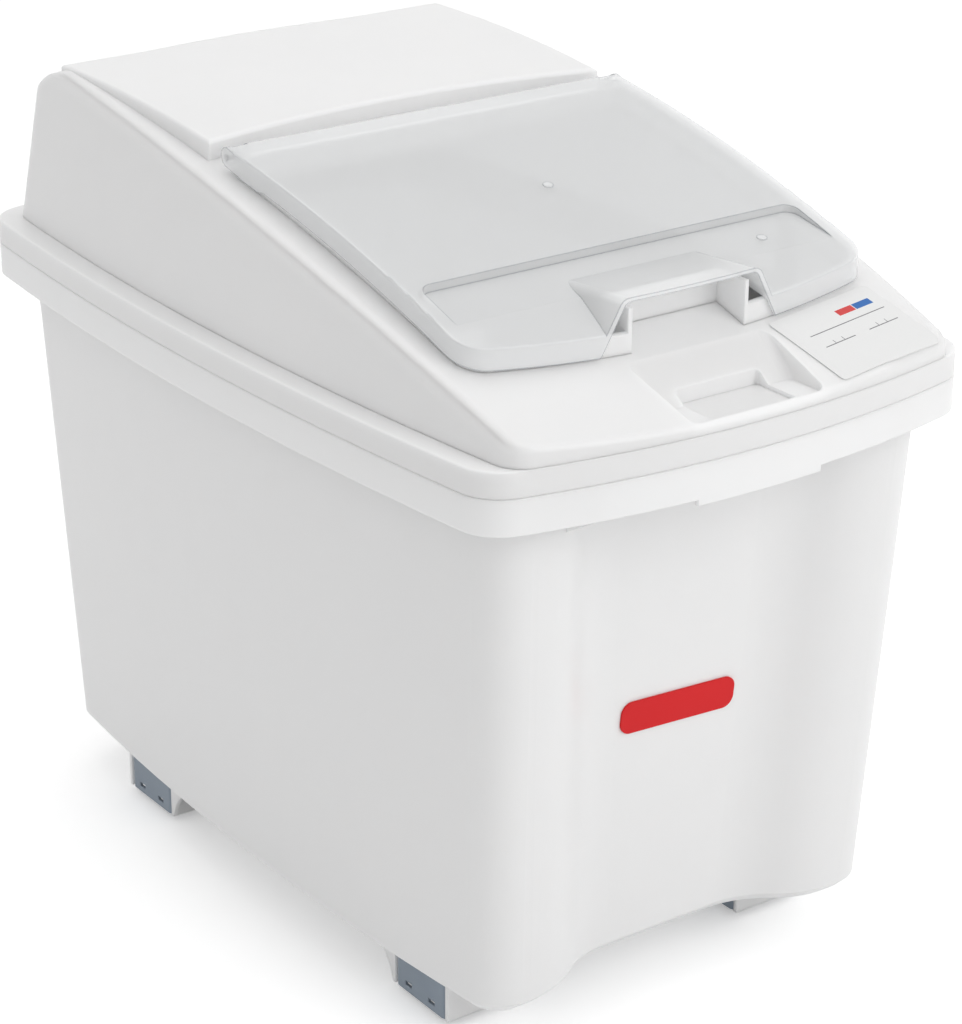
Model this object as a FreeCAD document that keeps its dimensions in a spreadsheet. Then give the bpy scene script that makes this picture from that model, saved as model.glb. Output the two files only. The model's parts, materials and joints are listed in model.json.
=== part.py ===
import FreeCAD, Part
import math
import os
import re

Vector = FreeCAD.Vector

# Ingredient bin: a tapered tub on four swivel casters, a lift-off hood and a clear front door.
# Frame: +Z up, the front is -Y, the origin is on the floor under the middle of the rim.

doc = FreeCAD.newDocument("ingredient_bin")
sheet = doc.addObject("Spreadsheet::Sheet", "sizes")

# Driving dimensions in millimetres.
SIZES = [
    # rim outline, measured at the middle of each bowed side
    ("rim_half_width", 200.0),
    ("rim_half_length", 323.0),
    ("rim_side_bow", 18.7),
    ("rim_end_bow", 28.3),
    ("rim_corner_radius", 30.0),
    # tub wall outline under the rim and at its lower edge
    ("wall_side_inset", 17.0),
    ("wall_rear_inset", 20.5),
    ("wall_front_inset", 34.5),
    ("wall_side_taper", 13.0),
    ("wall_rear_taper", 21.5),
    ("wall_front_taper", 21.5),
    ("wall_side_bow", 20.0),
    ("wall_end_bow", 30.7),
    ("wall_corner_radius", 26.0),
    ("wall_thickness", 3.5),
    # front hand channel
    ("channel_flank_start", 46.0),
    ("channel_flat_half", 57.0),
    ("channel_depth", 26.5),
    # tub heights
    ("base_bottom", 36.0),
    ("base_inset", 7.0),
    ("floor_thickness", 4.0),
    ("wall_low_height", 43.0),
    ("rim_band_height", 23.3),
    ("rim_top_height", 403.3),
    ("rim_band_thickness", 3.0),
    ("rim_web_thickness", 3.0),
    ("rim_edge_round", 1.2),
    # front grip lip and gussets
    ("grip_half_width", 47.0),
    ("grip_drop", 3.5),
    ("gusset_drop", 17.0),
    ("gusset_thickness", 3.0),
    # lid skirt, flange and locating lip
    ("skirt_height", 17.0),
    ("lid_thickness", 3.0),
    ("lip_clearance", 1.2),
    ("lip_thickness", 2.5),
    ("lip_drop", 12.0),
    # hood over the flange
    ("hood_side_inset", 16.0),
    ("hood_rear_inset", 15.0),
    ("hood_front_inset", 0.2),
    ("hood_draft_inset", 13.8),
    ("hood_rear_draft_inset", 28.0),
    ("hood_front_draft_inset", 6.0),
    ("hood_loft_margin", 21.5),
    ("hood_corner_radius", 19.0),
    ("shoulder_round", 10.0),
    ("apron_round", 4.0),
    ("rear_round", 70.0),
    ("rear_round_inset", 95.0),
    # top curves, seen from the side
    ("crown_inset", 123.0),
    ("hood_height", 121.2),
    ("shoulder_rear_inset", 102.0),
    ("shoulder_rear_drop", 6.0),
    ("shoulder_front_inset", 8.0),
    ("apron_rise", 8.7),
    ("shoulder_rise", 18.0),
    # raised rear panel
    ("panel_rear_inset", 87.0),
    ("panel_hinge_gap", 37.5),
    ("panel_front_bow", 15.2),
    ("panel_drop", 4.0),
    ("panel_edge_round", 2.5),
    # door
    ("door_side_inset", 45.0),
    ("door_front_inset", 67.0),
    ("door_front_bow", 18.75),
    ("door_front_rise", 16.0),
    ("door_corner_radius", 22.0),
    ("door_thickness", 2.5),
    ("door_skirt_depth", 13.0),
    ("door_edge_round", 1.5),
    ("door_clearance", 0.8),
    # hinge
    ("hinge_place", 19.5),
    ("hinge_drop", 6.5),
    ("hinge_pin_radius", 2.0),
    ("hinge_pin_clearance", 0.05),
    ("hinge_cheek_width", 7.0),
    ("hinge_cheek_radius", 3.7),
    ("hinge_side_clearance", 0.5),
    ("hinge_boss_width", 7.5),
    ("hinge_lobe_drop", 15.0),
    ("hinge_lobe_place", 17.0),
    ("hinge_lobe_radius", 6.0),
    ("hinge_boss_radius", 5.0),
    # stepped front panel and finger hood of the door
    ("step_rear_setback", 81.0),
    ("step_front_setback", 40.0),
    ("step_depth", 5.0),
    ("step_side_inset", 11.0),
    ("step_corner_radius", 9.0),
    ("pull_rise", 22.0),
    ("pull_setback", 60.0),
    ("pull_base_half_width", 64.0),
    ("pull_top_half_width", 52.0),
    ("pull_thickness", 2.5),
    ("pull_edge_round", 8.0),
    # opening under the door
    ("curb_thickness", 3.0),
    ("curb_rear_gap", 9.0),
    # finger bay in the curb, under the finger hood
    ("bay_half_width", 46.0),
    ("bay_setback", 34.0),
    ("bay_wall", 3.0),
    ("bay_top_clearance", 5.5),
    # finger recess in the apron
    ("recess_half_width", 54.0),
    ("recess_gap", 2.0),
    ("recess_back_slope", 30.0),
    ("recess_side_slope", 4.0),
    ("recess_front_wall", 4.0),
    ("recess_corner_radius", 6.0),
    ("recess_floor_rise", 4.5),
    ("pocket_half_width", 32.0),
    ("pocket_gap", 20.0),
    ("pocket_depth", 2.5),
    # inner ribs of the lid
    ("rib_place", 148.0),
    ("rib_depth", 9.0),
    ("rib_thickness", 2.5),
    # label and badge
    ("label_width", 90.0),
    ("label_length", 62.0),
    ("label_thickness", 0.4),
    ("label_gap", 0.3),
    ("label_corner_radius", 3.0),
    ("label_side_inset", 93.0),
    ("label_front_inset", 43.0),
    ("label_turn", 8.0),
    ("badge_width", 91.0),
    ("badge_height", 22.0),
    ("badge_thickness", 1.2),
    ("badge_corner_radius", 8.0),
    ("badge_drop", 174.0),
    ("badge_tilt", 3.0),
    # casters
    ("caster_front_side_inset", 80.5),
    ("caster_rear_side_inset", 76.0),
    ("caster_front_inset", 144.5),
    ("caster_rear_inset", 163.5),
    ("well_bottom", 5.0),
    ("well_wall", 3.0),
    ("well_clearance", 0.3),
    ("well_rib_length", 45.0),
    ("cup_half_size", 28.0),
    ("cup_wall", 2.0),
    ("cup_corner_radius", 4.0),
    ("cup_roof_thickness", 3.0),
    ("clip_window_length", 7.0),
    ("clip_window_height", 3.0),
    ("clip_window_spacing", 26.0),
    ("clip_window_place", 11.0),
    ("tyre_radius", 17.5),
    ("tyre_thickness", 4.0),
    ("tyre_round", 3.0),
    ("wheel_width", 16.0),
    ("wheel_hub_radius", 6.0),
    ("wheel_dish_depth", 2.5),
    ("caster_trail", 6.0),
    ("axle_radius", 2.5),
    ("axle_head_radius", 4.0),
    ("axle_head_height", 1.6),
    ("running_clearance", 0.05),
    ("fork_side_clearance", 0.7),
    ("fork_arm_thickness", 2.5),
    ("fork_arm_width", 13.0),
    ("fork_plate_thickness", 2.5),
    ("fork_plate_radius", 12.0),
    ("fork_wheel_gap", 2.5),
    ("swivel_washer_thickness", 2.8),
    ("swivel_washer_radius", 11.0),
    ("swivel_play", 0.1),
    ("kingpin_radius", 3.0),
    ("kingpin_head_radius", 4.5),
    ("kingpin_head_height", 1.5),
    # one length that lets every cut run past its face
    ("overrun", 10.0),
]

for row, (alias, value) in enumerate(SIZES, start=1):
    sheet.set("A%d" % row, alias)
    sheet.set("B%d" % row, str(value))
    sheet.setAlias("B%d" % row, alias)
doc.recompute()


# Places and heights that follow from the driving dimensions, each a sum of names.
FOLLOWING = {
    "wall_top_half_width": "rim_half_width - wall_side_inset",
    "wall_top_half_length": "rim_half_length - wall_rear_inset",
    "wall_top_front": "rim_half_length - wall_front_inset",
    "wall_low_half_width": "wall_top_half_width - wall_side_taper",
    "wall_low_half_length": "wall_top_half_length - wall_rear_taper",
    "wall_low_front": "wall_top_front - wall_front_taper",
    "channel_flank_width": "wall_top_half_width - channel_flank_start - channel_flat_half",
    "rim_low_height": "rim_top_height - rim_band_height",
    "flange_top_height": "rim_top_height + skirt_height",
    "hood_loft_height": "hood_height + hood_loft_margin",
    "crown_height": "flange_top_height + hood_height",
    "crown_place": "rim_half_length - crown_inset",
    "shoulder_rear_place": "rim_half_length - shoulder_rear_inset",
    "shoulder_rear_height": "crown_height - shoulder_rear_drop",
    "shoulder_front_place": "rim_half_length - shoulder_front_inset",
    "shoulder_front_height": "flange_top_height + apron_rise",
    "rear_round_place": "rim_half_length - rear_round_inset",
    "panel_rear_place": "rim_half_length - panel_rear_inset",
    "panel_front_place": "hinge_place + panel_hinge_gap",
    "door_half_width": "rim_half_width - door_side_inset",
    "door_front_place": "rim_half_length - door_front_inset",
    "step_rear_place": "door_front_place - step_rear_setback",
    "step_front_place": "door_front_place - step_front_setback",
    "step_half_width": "door_half_width - step_side_inset",
    "pull_rear_place": "door_front_place - pull_setback",
    "bay_rear_place": "door_front_place - bay_setback",
    "recess_rear_place": "door_front_place + recess_gap",
    "pocket_rear_place": "recess_rear_place + pocket_gap",
    "label_place_side": "rim_half_width - label_side_inset",
    "label_place_front": "rim_half_length - label_front_inset",
    "badge_place": "rim_low_height - badge_drop",
    "caster_front_side_place": "rim_half_width - caster_front_side_inset",
    "caster_rear_side_place": "rim_half_width - caster_rear_side_inset",
    "caster_front_place": "rim_half_length - caster_front_inset",
    "caster_rear_place": "rim_half_length - caster_rear_inset",
}


def size(alias):
    """The value of one cell of the sheet, or of a place that follows from several."""
    if alias not in FOLLOWING:
        return float(sheet.get(alias))
    words = FOLLOWING[alias].split()
    total = size(words[0])
    for sign, name in zip(words[1::2], words[2::2]):
        total += size(name) if sign == "+" else -size(name)
    return total


def cell(alias):
    """The expression that reads one cell of the sheet, or adds up the cells that a place follows from."""
    if alias not in FOLLOWING:
        return "sizes." + alias
    words = [word if word in "+-" else cell(word) for word in FOLLOWING[alias].split()]
    return "(" + " ".join(words) + ")"


def bind(item, target, expression):
    """Bind a property to an expression in which every size is one cell or a sum of cells."""
    item.setExpression(target, re.sub(r"sizes\.(\w+)", lambda found: cell(found.group(1)), expression))


def bow_radius(half, bow):
    """The radius of a side with a half length that bows out by a rise in its middle."""
    return (size(half) ** 2 + size(bow) ** 2) / (2 * size(bow))


# Drawing helpers.
def flat(x, y):
    """A point of a sketch."""
    return Vector(x, y, 0)


def unit(vector):
    """The same direction, one long."""
    return vector / vector.Length


def arc_about(centre, radius, start, end, via=None):
    """An arc about a centre, between two directions, through a third or through their middle."""
    via = via or unit(start) + unit(end)
    points = [centre + unit(way) * radius for way in (start, via, end)]
    return Part.Arc(*points)


def polygon(points):
    """The closed line through points."""
    following = points[1:] + points[:1]
    return [Part.LineSegment(a, b) for a, b in zip(points, following)]


def rounded_polygon(corners):
    """The closed line through (point, radius) corners, with each corner of a radius rounded."""
    edges, ends = [], []
    for number, (point, radius) in enumerate(corners):
        before = unit(corners[number - 1][0] - point)
        after = unit(corners[(number + 1) % len(corners)][0] - point)
        if not radius:
            ends.append((point, point))
            continue
        half_angle = before.getAngle(after) / 2
        reach = radius / math.tan(half_angle)
        centre = point + unit(before + after) * (radius / math.sin(half_angle))
        first, last = point + before * reach, point + after * reach
        edges.append(arc_about(centre, radius, first - centre, last - centre))
        ends.append((first, last))
    for number, (first, last) in enumerate(ends):
        edges.append(Part.LineSegment(last, ends[(number + 1) % len(ends)][0]))
    return edges


def rounded_box(half_x, half_y, radius, centre=flat(0, 0)):
    """A rectangle with round corners."""
    edges = []
    corners = [(1, 1), (-1, 1), (-1, -1), (1, -1)]
    middles = [flat((half_x - radius) * i, (half_y - radius) * j) + centre for i, j in corners]
    for number, (i, j) in enumerate(corners):
        first, second = (flat(i, 0), flat(0, j)) if i * j > 0 else (flat(0, j), flat(i, 0))
        edges.append(arc_about(middles[number], radius, first, second))
        following = middles[(number + 1) % len(corners)]
        edges.append(Part.LineSegment(middles[number] + second * radius, following + second * radius))
    return edges


def mirrored_edges(edges):
    """The same edges on the other side of the middle plane, in reverse order."""
    turned = []
    for edge in reversed(edges):
        copy = edge.copy()
        copy.mirror(flat(0, 0), flat(0, 1))
        turned.append(copy)
    return turned


def meeting_point(first, first_reach, second, second_reach):
    """The right-hand rear point at the given distances from two centres."""
    gap = second - first
    along = (first_reach ** 2 - second_reach ** 2 + gap.Length ** 2) / (2 * gap.Length)
    aside = math.sqrt(first_reach ** 2 - along ** 2)
    across = flat(-gap.y, gap.x) / gap.Length
    base = first + unit(gap) * along
    return max((base + across * aside, base - across * aside), key=lambda point: point.x + point.y)


def bowed_outline(half_width, half_length, side_radius, end_radius, corner_radius, inset=0, shift=0):
    """Four bowed sides with round corners, set in by an inset and moved along Y by a shift."""
    move = flat(0, shift)
    side = flat(half_width - side_radius, 0)
    end = flat(0, half_length - end_radius)
    corner = meeting_point(side, side_radius - corner_radius, end, end_radius - corner_radius)
    right, rear = flat(1, 0), flat(0, 1)

    def turned(vector, i, j):
        return flat(vector.x * i, vector.y * j)

    edges = []
    for i, j in ((1, 1), (-1, 1), (-1, -1), (1, -1)):
        corner_here = turned(corner, i, j)
        to_side = turned(corner - side, i, j)
        to_end = turned(corner - end, i, j)
        bend = arc_about(corner_here + move, corner_radius - inset, to_side, to_end)
        edges.append(bend)
    for i in (1, -1):
        top = turned(corner - side, i, 1)
        low = turned(corner - side, i, -1)
        edges.append(arc_about(turned(side, i, 1) + move, side_radius - inset, low, top, right * i))
    for j in (1, -1):
        one = turned(corner - end, 1, j)
        other = turned(corner - end, -1, j)
        edges.append(arc_about(turned(end, 1, j) + move, end_radius - inset, one, other, rear * j))
    order = [4, 0, 6, 1, 5, 2, 7, 3]
    return [edges[number] for number in order]


def wall_outline(half_width, half_length, front, inset=0):
    """The tub's outline: bowed sides and rear, and a front with the hand channel."""
    side_radius = bow_radius("wall_top_half_length", "wall_side_bow")
    end_radius = bow_radius("wall_top_half_width", "wall_end_bow")
    corner_radius = size("wall_corner_radius")
    depth, width = size("channel_depth"), size("channel_flank_width")
    bend = (width ** 2 + depth ** 2) / (4 * depth)
    side = flat(half_width - side_radius, 0)
    end = flat(0, half_length - end_radius)
    rear_corner = meeting_point(side, side_radius - corner_radius, end, end_radius - corner_radius)
    back = front - corner_radius
    front_corner = flat(side.x + math.sqrt((side_radius - corner_radius) ** 2 - back ** 2), -back)
    flank = half_width - size("channel_flank_start")
    outer_bend = flat(flank, bend - front)
    inner_bend = flat(flank - width, depth - bend - front)
    slope = inner_bend - outer_bend
    ahead, behind = flat(0, -1), flat(0, 1)
    right_half = [
        Part.LineSegment(inner_bend + behind * (bend + inset) - flat(flank - width, 0),
                         inner_bend + behind * (bend + inset)),
        arc_about(inner_bend, bend + inset, behind, -slope),
        arc_about(outer_bend, bend - inset, slope, ahead),
        Part.LineSegment(outer_bend + ahead * (bend - inset),
                         front_corner + ahead * (corner_radius - inset)),
        arc_about(front_corner, corner_radius - inset, ahead, front_corner - side),
        arc_about(side, side_radius - inset, front_corner - side, rear_corner - side),
        arc_about(rear_corner, corner_radius - inset, rear_corner - side, rear_corner - end),
        arc_about(end, end_radius - inset, rear_corner - end, behind),
    ]
    return right_half + mirrored_edges(right_half)


def crown_radius():
    """Radius of the top curve, which falls from its highest place to a rise over the door's front edge."""
    run = size("crown_place") + size("door_front_place")
    fall = size("crown_height") - shoulder_height_at(-size("door_front_place")) - size("door_front_rise")
    return (run ** 2 + fall ** 2) / (2 * fall)


def crown_height_at(place, drop=0):
    """Height of the top curve over a place along Y, on the curve set down by a drop."""
    radius = crown_radius()
    across = place - size("crown_place")
    return size("crown_height") - radius + math.sqrt((radius - drop) ** 2 - across ** 2)


def crown_point(place, drop):
    """The point square below the top curve by a drop, at a place along Y."""
    radius = crown_radius()
    centre = flat(size("crown_place"), size("crown_height") - radius)
    surface = flat(place, crown_height_at(place))
    return centre + unit(surface - centre) * (radius - drop)


def pull_height():
    """Height of the front edge of the door's finger hood."""
    return crown_height_at(-size("door_front_place")) + size("pull_rise")


def crown_arc(rear, front, drop):
    """The top curve between two places along Y, set down by a drop, with ends square to it."""
    middle = (rear + front) / 2
    return Part.Arc(*[crown_point(place, drop) for place in (rear, middle, front)])


def shoulder_circle():
    """Centre and radius of the shoulder's curve, through its rear, middle and front points."""
    rear = flat(size("shoulder_rear_place"), size("shoulder_rear_height"))
    front = flat(-size("shoulder_front_place"), size("shoulder_front_height"))
    middle = (rear + front) / 2 + flat(0, size("shoulder_rise"))
    circle = Part.Circle(rear, middle, front)
    return circle.Center, circle.Radius


def shoulder_height_at(place, lift=0):
    """Height of the shoulder's curve over a place along Y, on the curve raised by a lift."""
    centre, radius = shoulder_circle()
    return centre.y + math.sqrt((radius + lift) ** 2 - (place - centre.x) ** 2)


def shoulder_arc(rear, front, lift):
    """The shoulder's curve between two places along Y, raised by a lift."""
    middle = (rear + front) / 2
    return Part.Arc(*[flat(place, shoulder_height_at(place, lift)) for place in (rear, middle, front)])


# Feature helpers.
def new_body(name):
    """An empty body of the document."""
    return doc.addObject("PartDesign::Body", name)


def sketch(body, plane_role, edges, height=None):
    """A sketch on one of the body's own planes, moved along the plane's normal by an expression."""
    item = body.newObject("Sketcher::SketchObject", body.Name + "_sketch")
    plane = [feature for feature in body.Origin.OriginFeatures if feature.Role == plane_role][0]
    item.AttachmentSupport = [(plane, "")]
    item.MapMode = "FlatFace"
    for edge in edges:
        item.addGeometry(edge, False)
    if height is not None:
        bind(item, "AttachmentOffset.Base.z", height)
    return item


def pad(body, profile, length, symmetric=False):
    """Pad a sketch by an expression, one way or evenly both ways."""
    item = body.newObject("PartDesign::Pad", body.Name + "_pad")
    item.Profile = profile
    item.SideType = "Symmetric" if symmetric else "One side"
    bind(item, "Length", length)
    return item


def prism(name, edges, low, high):
    """A body with an upright outline between two heights, given as expressions."""
    body = new_body(name)
    pad(body, sketch(body, "XY_Plane", edges, low), "(%s) - (%s)" % (high, low))
    return body


def slice_across(name, edges, width):
    """A body with an outline in the side view, padded evenly to both sides to a width."""
    body = new_body(name)
    pad(body, sketch(body, "YZ_Plane", edges), width, symmetric=True)
    return body


def loft(name, sections):
    """A body lofted straight through outlines at heights, given as (edges, expression)."""
    body = new_body(name)
    profiles = [sketch(body, "XY_Plane", edges, height) for edges, height in sections]
    item = body.newObject("PartDesign::AdditiveLoft", name + "_loft")
    item.Profile = profiles[0]
    item.Sections = profiles[1:]
    item.Ruled = True
    return body


def turned_body(name, outline):
    """A body turned about the X axis from a closed outline of (along X, radius)."""
    body = new_body(name)
    profile = sketch(body, "XY_Plane", outline)
    item = body.newObject("PartDesign::Revolution", name + "_turn")
    item.Profile = profile
    item.ReferenceAxis = (profile, ["H_Axis"])
    return body


def fuse(name, pieces):
    """Join pieces into one solid."""
    item = doc.addObject("Part::MultiFuse", name)
    item.Shapes = pieces
    item.Refine = True
    return item


def cut(name, base, tool, refine=True):
    """Cut one piece from another."""
    item = doc.addObject("Part::Cut", name)
    item.Base = base
    item.Tool = tool
    item.Refine = refine
    return item


def common(name, first, second):
    """What two pieces share."""
    item = doc.addObject("Part::Common", name)
    item.Base = first
    item.Tool = second
    return item


def box(name, corner, lengths):
    """A box from expressions of its low corner and of its lengths."""
    item = doc.addObject("Part::Box", name)
    for side, length in zip(("Length", "Width", "Height"), lengths):
        bind(item, side, length)
    for axis, place in zip("xyz", corner):
        bind(item, "Placement.Base." + axis, place)
    return item


def cylinder_along_x(name, radius, start, length, centre):
    """A round bar along X from expressions of its radius and length, at a start and a centre (y, z)."""
    item = doc.addObject("Part::Cylinder", name)
    bind(item, "Radius", radius)
    bind(item, "Height", length)
    turn = FreeCAD.Rotation(Vector(0, 1, 0), 90)
    item.Placement = FreeCAD.Placement(Vector(start, centre.x, centre.y), turn)
    return item


def round_edges(name, base, radii):
    """Round the edges of a piece for which a test gives a radius at each end."""
    doc.recompute()
    item = doc.addObject("Part::Fillet", name)
    item.Base = base
    wanted = [(number, radii(edge)) for number, edge in enumerate(base.Shape.Edges, start=1)]
    item.Edges = [(number, ends[0], ends[1]) for number, ends in wanted if ends]
    return item


def same_radius(alias, chosen):
    """Give one radius to every edge that a test picks."""
    return lambda edge: (size(alias), size(alias)) if chosen(edge) else None


def middle_of(edge):
    """The point half way along an edge."""
    return edge.valueAt((edge.FirstParameter + edge.LastParameter) / 2)


SUB_PARTS = []


def sub_part(label, item, place=Vector(0, 0, 0)):
    """Name a finished piece and put it in its place."""
    item.Label = label
    item.Placement = FreeCAD.Placement(place.add(item.Placement.Base), item.Placement.Rotation)
    SUB_PARTS.append(item)


# Outlines of the object.
def rim_radii():
    """The radii of the rim's sides and of its ends."""
    return bow_radius("rim_half_length", "rim_side_bow"), bow_radius("rim_half_width", "rim_end_bow")


def rim_outline(inset=0):
    """The rim of the tub and the skirt of the lid."""
    sides, ends = rim_radii()
    return bowed_outline(size("rim_half_width"), size("rim_half_length"), sides, ends,
                         size("rim_corner_radius"), inset)


def wall_top(inset=0):
    """The tub's wall under the rim."""
    half_width, half_length = size("wall_top_half_width"), size("wall_top_half_length")
    return wall_outline(half_width, half_length, size("wall_top_front"), inset)


def wall_low(inset=0):
    """The tub's wall at its lower edge."""
    half_width, half_length = size("wall_low_half_width"), size("wall_low_half_length")
    return wall_outline(half_width, half_length, size("wall_low_front"), inset)


def hood_outline(inset=0, draft_share=0):
    """The hood of the lid at its foot, or drawn in by a share of its drafts."""
    half_width = size("rim_half_width") - size("hood_side_inset") - size("hood_draft_inset") * draft_share
    rear = size("rim_half_length") - size("hood_rear_inset") - size("hood_rear_draft_inset") * draft_share
    front = size("rim_half_length") - size("hood_front_inset") - size("hood_front_draft_inset") * draft_share
    sides, ends = rim_radii()
    return bowed_outline(half_width, (rear + front) / 2, sides, ends, size("hood_corner_radius"), inset,
                         (rear - front) / 2)


def door_outline(inset, rear):
    """The door in plan: straight sides from a rear line, round front corners and a bowed front."""
    radius, corner_radius = bow_radius("door_half_width", "door_front_bow"), size("door_corner_radius")
    half_width = size("door_half_width")
    front = flat(0, radius - size("door_front_place"))
    across = half_width - corner_radius
    corner = flat(across, front.y - math.sqrt((radius - corner_radius) ** 2 - across ** 2))
    ahead, right = flat(0, -1), flat(1, 0)
    right_half = [
        arc_about(front, radius - inset, ahead, corner - front),
        arc_about(corner, corner_radius - inset, corner - front, right),
        Part.LineSegment(corner + right * (corner_radius - inset), flat(half_width - inset, rear)),
        Part.LineSegment(flat(half_width - inset, rear), flat(0, rear)),
    ]
    return right_half + mirrored_edges(right_half)


def crown_band(rear, front, upper, lower):
    """The side view of a sheet that follows the top curve, between two drops below it."""
    top = crown_arc(rear, front, upper)
    low = crown_arc(rear, front, lower)
    return [top, Part.LineSegment(top.EndPoint, low.EndPoint), low,
            Part.LineSegment(low.StartPoint, top.StartPoint)]


def below_shoulder(lift):
    """The side view of all that lies under the shoulder's curve, down to the tub's rim."""
    rear = size("rim_half_length") + size("overrun")
    top = shoulder_arc(rear, -rear, lift)
    floor = size("rim_low_height")
    corners = [top.EndPoint, flat(-rear, floor), flat(rear, floor), top.StartPoint]
    return [top] + [Part.LineSegment(a, b) for a, b in zip(corners, corners[1:])]


def hinge_centre():
    """The door's turning axis in the side view, square below the top curve."""
    return crown_point(size("hinge_place"), size("hinge_drop"))


def hinge_radial():
    """The direction from the hinge's axis square to the door's sheet."""
    return unit(crown_point(size("hinge_place"), 0) - hinge_centre())


WIDE = "2 * (sizes.rim_half_width + sizes.overrun)"
RIM_HEIGHT = "(sizes.rim_top_height - sizes.rim_low_height)"
FORK_LOW = "(2 * sizes.tyre_radius + sizes.fork_wheel_gap)"
FORK_TOP = "(%s + sizes.fork_plate_thickness)" % FORK_LOW
CUP_CEILING = "(%s + sizes.swivel_washer_thickness + 2 * sizes.swivel_play)" % FORK_TOP
CUP_TOP = "(%s + sizes.cup_roof_thickness)" % CUP_CEILING
HEAD_TOP = "(%s + sizes.kingpin_head_height + sizes.well_clearance)" % CUP_TOP
WELL_TOP = "(%s + sizes.well_wall)" % HEAD_TOP

CASTERS = [
    ("front_left", -size("caster_front_side_place"), -size("caster_front_place")),
    ("front_right", size("caster_front_side_place"), -size("caster_front_place")),
    ("rear_left", -size("caster_rear_side_place"), size("caster_rear_place")),
    ("rear_right", size("caster_rear_side_place"), size("caster_rear_place")),
]


# Tub.
def channel_front_at(across):
    """How far back the front wall lies under the rim, on the outer half of a channel flank."""
    depth, width = size("channel_depth"), size("channel_flank_width")
    bend = (width ** 2 + depth ** 2) / (4 * depth)
    run = size("wall_top_half_width") - size("channel_flank_start") - across
    return -size("wall_top_front") + bend - math.sqrt(bend ** 2 - run ** 2)


def rim_front_at(across, inset=0):
    """Where the front of the rim lies at a distance from the middle."""
    centre = bow_radius("rim_half_width", "rim_end_bow") - size("rim_half_length")
    return centre - math.sqrt((bow_radius("rim_half_width", "rim_end_bow") - inset) ** 2 - across ** 2)


def rim_ring(name, thickness, low, high):
    """A hanging band round the rim, with its outer edges rounded."""
    ring = prism(name, rim_outline() + rim_outline(size(thickness)), low, high)

    def outer(edge):
        point = middle_of(edge)
        level = abs(edge.BoundBox.ZLength) < size("rim_edge_round")
        probe = Part.Vertex(point)
        outline = Part.Wire(Part.__sortEdges__([e.toShape() for e in rim_outline()]))
        outline.translate(Vector(0, 0, point.z))
        return level and probe.distToShape(outline)[0] < size("running_clearance")

    return round_edges(name + "_round", ring, same_radius("rim_edge_round", outer))


def make_grip_lip():
    """The deeper stretch of the rim band under which the hands go."""
    half, thickness = size("grip_half_width"), size("rim_band_thickness")
    outer = [flat(x, rim_front_at(x)) for x in (-half, 0, half)]
    inner = [flat(x, rim_front_at(x, thickness)) for x in (-half, 0, half)]
    edges = [Part.Arc(*outer), Part.LineSegment(outer[-1], inner[-1]), Part.Arc(*reversed(inner)),
             Part.LineSegment(inner[0], outer[0])]
    return prism("grip_lip", edges, "sizes.rim_low_height - sizes.grip_drop",
                 "sizes.rim_low_height + sizes.rim_band_thickness")


GUSSET_FLANK_SHARE = 0.3


def make_gusset(name, way):
    """A web between the front wall and the rim band, on the outer part of a channel flank."""
    across = (size("wall_top_half_width") - size("channel_flank_start")
              - size("channel_flank_width") * GUSSET_FLANK_SHARE)
    root = channel_front_at(across) + size("wall_thickness") / 2
    tip = rim_front_at(across, size("rim_band_thickness")) - size("rim_band_thickness") / 2
    top = size("rim_top_height") - size("rim_web_thickness") / 2
    low = size("rim_low_height")
    body = new_body(name)
    corners = [flat(root, top), flat(tip, top), flat(tip, low), flat(root, low - size("gusset_drop"))]
    profile = sketch(body, "YZ_Plane", polygon(corners), "%f" % (way * across))
    pad(body, profile, cell("gusset_thickness"), symmetric=True)
    return body


def make_well_pieces(name, side, along):
    """What a wheel well adds to the tub, and what it takes away."""
    centre = flat(side, along)
    room = size("cup_half_size") + size("well_clearance")
    outside = room + size("well_wall")
    corner = size("cup_corner_radius") + size("well_clearance")
    added = [prism("well_" + name, rounded_box(outside, outside, corner + size("well_wall"), centre),
                   cell("base_bottom"), WELL_TOP)]
    taken = [prism("well_room_" + name, rounded_box(room, room, corner, centre),
                   "sizes.well_bottom - sizes.overrun", CUP_TOP)]
    head = size("kingpin_head_radius") + size("well_clearance")
    taken.append(prism("head_room_" + name, rounded_box(head, head, head / 2, centre), CUP_TOP, HEAD_TOP))
    for way, end in ((1, "rear"), (-1, "front")):
        low_edge = "%f + %d * (sizes.cup_half_size + sizes.well_clearance)" % (along, way)
        corner_y = low_edge if way > 0 else low_edge + " - sizes.well_wall"
        added.append(box("leg_%s_%s" % (name, end),
                         ("%f - sizes.cup_half_size" % side, corner_y, cell("well_bottom")),
                         ("2 * sizes.cup_half_size", cell("well_wall"),
                          "sizes.base_bottom + sizes.floor_thickness - sizes.well_bottom")))
    added += [make_well_rib(name, side, along, way) for way in (1, -1)]
    return added, taken


RIB_BEND_SHARES = (0.35, 0.72)


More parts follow.
